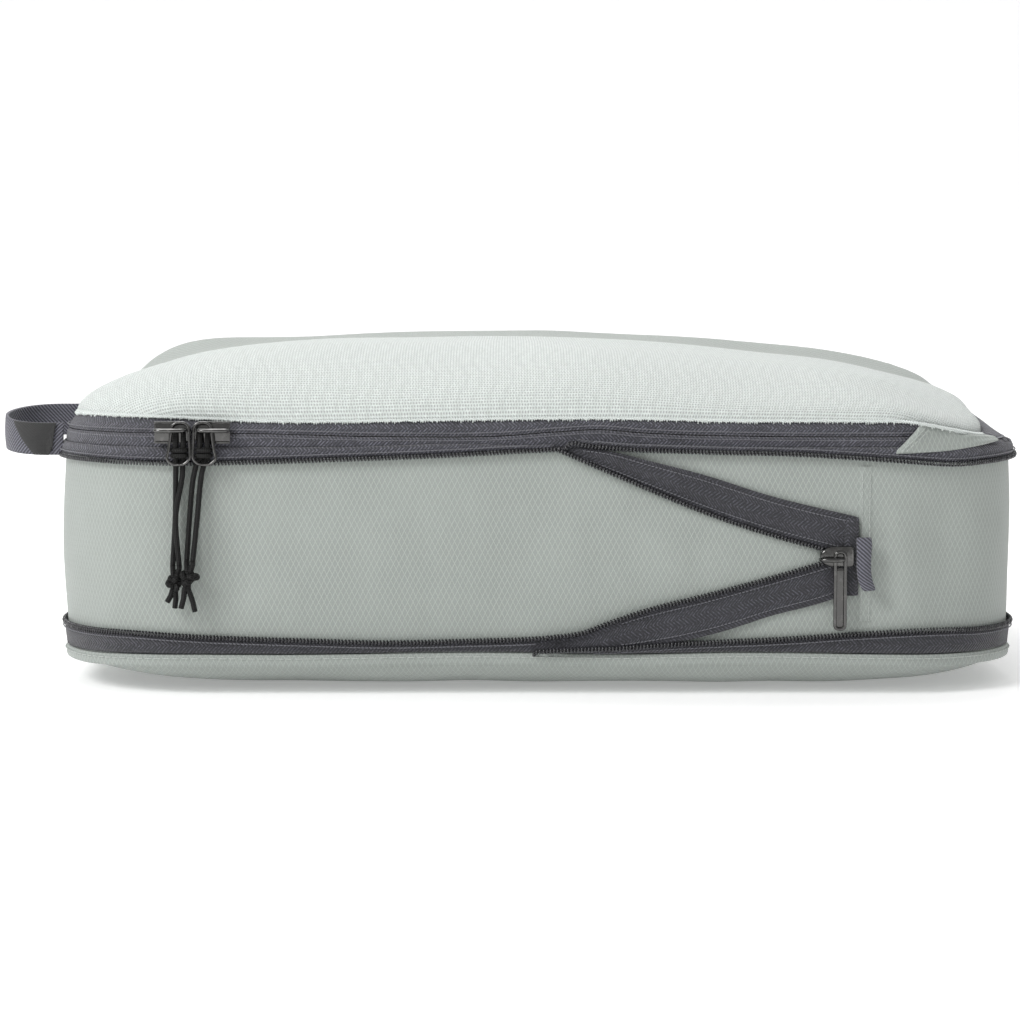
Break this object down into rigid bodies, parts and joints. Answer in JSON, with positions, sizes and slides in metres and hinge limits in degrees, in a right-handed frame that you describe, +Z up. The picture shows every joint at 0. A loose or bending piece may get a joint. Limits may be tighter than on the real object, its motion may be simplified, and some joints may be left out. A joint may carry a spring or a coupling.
{
  "type": "packing cube",
  "caption": "Soft rectangular packing cube with a domed part-mesh lid, zip round three sides, an open expansion zip round the gusset and a side grab loop.",
  "frame": {"origin": "centre of the flat face under the bottom panel that the cube rests on", "axes": "+X along the length to the hinge side, +Y to the back, +Z up"},
  "size_m": [0.3814, 0.2674, 0.1263],
  "materials": {
    "sage_ripstop": "matt ripstop weave",
    "mint_mesh": "open knitted mesh",
    "slate_tape": "herringbone zip tape",
    "coil_nylon": "nylon coil",
    "grey_webbing": "twill webbing",
    "black_label": "woven label",
    "gunmetal": "dark plated zinc",
    "black_cord": "braided cord"
  },
  "bodies": {
    "base": {"bottom_panel": "sage_ripstop", "bottom_edge_fold": "sage_ripstop", "bottom_inner_binding": "slate_tape", "lower_flap_tape": "slate_tape", "lower_flap_coil": "coil_nylon", "gusset_wall": "sage_ripstop", "gusset_side_seam": "sage_ripstop", "zip_end_patch": "slate_tape", "v_upper_tape": "slate_tape", "v_upper_coil": "coil_nylon", "v_lower_tape": "slate_tape", "v_lower_coil": "coil_nylon"},
    "rim": {"upper_flap_tape": "slate_tape", "upper_flap_coil": "coil_nylon", "rim_inner_binding": "slate_tape", "main_zip_lower_tape": "slate_tape", "main_zip_lower_coil": "coil_nylon", "zip_garage": "sage_ripstop"},
    "lid": {"lid_mesh_panel": "mint_mesh", "lid_fabric_panel": "sage_ripstop", "lid_panel_seam": "slate_tape", "main_zip_upper_tape": "slate_tape", "main_zip_upper_coil": "coil_nylon", "lid_hinge_strip": "slate_tape"},
    "grab_loop": {"grab_loop_webbing": "grey_webbing", "grab_loop_label": "black_label"},
    "zip_end": {"zip_stop_tab": "grey_webbing"},
    "expansion_slider": {"expansion_slider_body": "gunmetal"},
    "expansion_pull": {"expansion_pull_tab": "gunmetal"},
    "slider_left": {"main_slider_left": "gunmetal"},
    "pull_left": {"pull_ring_left": "gunmetal", "pull_hitch_left": "black_cord", "pull_cord_left_a": "black_cord", "pull_cord_left_b": "black_cord", "pull_knot_left": "black_cord"},
    "slider_right": {"main_slider_right": "gunmetal"},
    "pull_right": {"pull_ring_right": "gunmetal", "pull_hitch_right": "black_cord", "pull_cord_right_a": "black_cord", "pull_cord_right_b": "black_cord", "pull_knot_right": "black_cord"}
  },
  "joints": [
    {"name": "compress", "type": "slide", "parent": "base", "child": "rim", "axis": [0, 0, 1], "range_m": [-0.0575, 0], "deforming": ["gusset_wall", "gusset_side_seam", "zip_end_patch", "v_upper_tape", "v_upper_coil", "v_lower_tape", "v_lower_coil"]},
    {"name": "lid_hinge", "type": "hinge", "parent": "rim", "child": "lid", "pos_m": [0.18, 0, 0.0925], "axis": [0, 1, 0], "range_deg": [0, 170]},
    {"name": "loop_lift", "type": "hinge", "parent": "rim", "child": "grab_loop", "pos_m": [-0.1795, -0.067, 0.0958], "axis": [0, 1, 0], "range_deg": [0, 45]},
    {"name": "slider_left_round_corner", "type": "hinge", "parent": "rim", "child": "slider_left", "pos_m": [-0.1265, -0.077, 0.0953], "axis": [0, 0, -1], "range_deg": [0, 55]},
    {"name": "pull_left_swivel", "type": "hinge", "parent": "slider_left", "child": "pull_left", "pos_m": [-0.1312, -0.1327, 0.095], "axis": [0, 0, -1], "range_deg": [0, 110]},
    {"name": "slider_right_travel", "type": "slide", "parent": "rim", "child": "slider_right", "axis": [1, 0, 0], "range_m": [0, 0.21]},
    {"name": "pull_right_swivel", "type": "hinge", "parent": "slider_right", "child": "pull_right", "pos_m": [-0.1168, -0.1327, 0.095], "axis": [0, 0, 1], "range_deg": [0, 110]},
    {"name": "zip_end_shift", "type": "slide", "parent": "base", "child": "zip_end", "axis": [0, 0, 1], "range_m": [-0.03, 0]},
    {"name": "expansion_slider_travel", "type": "slide", "parent": "zip_end", "child": "expansion_slider", "axis": [-1, 0, 0], "range_m": [0, 0.098]},
    {"name": "expansion_pull_swivel", "type": "hinge", "parent": "expansion_slider", "child": "expansion_pull", "pos_m": [0.10635, -0.1325, 0.0498], "axis": [0, 0, -1], "range_deg": [0, 110]}
  ],
  "couplings": [
    {"joint": "zip_end_shift", "follows": "compress", "ratio": 0.496}
  ]
}
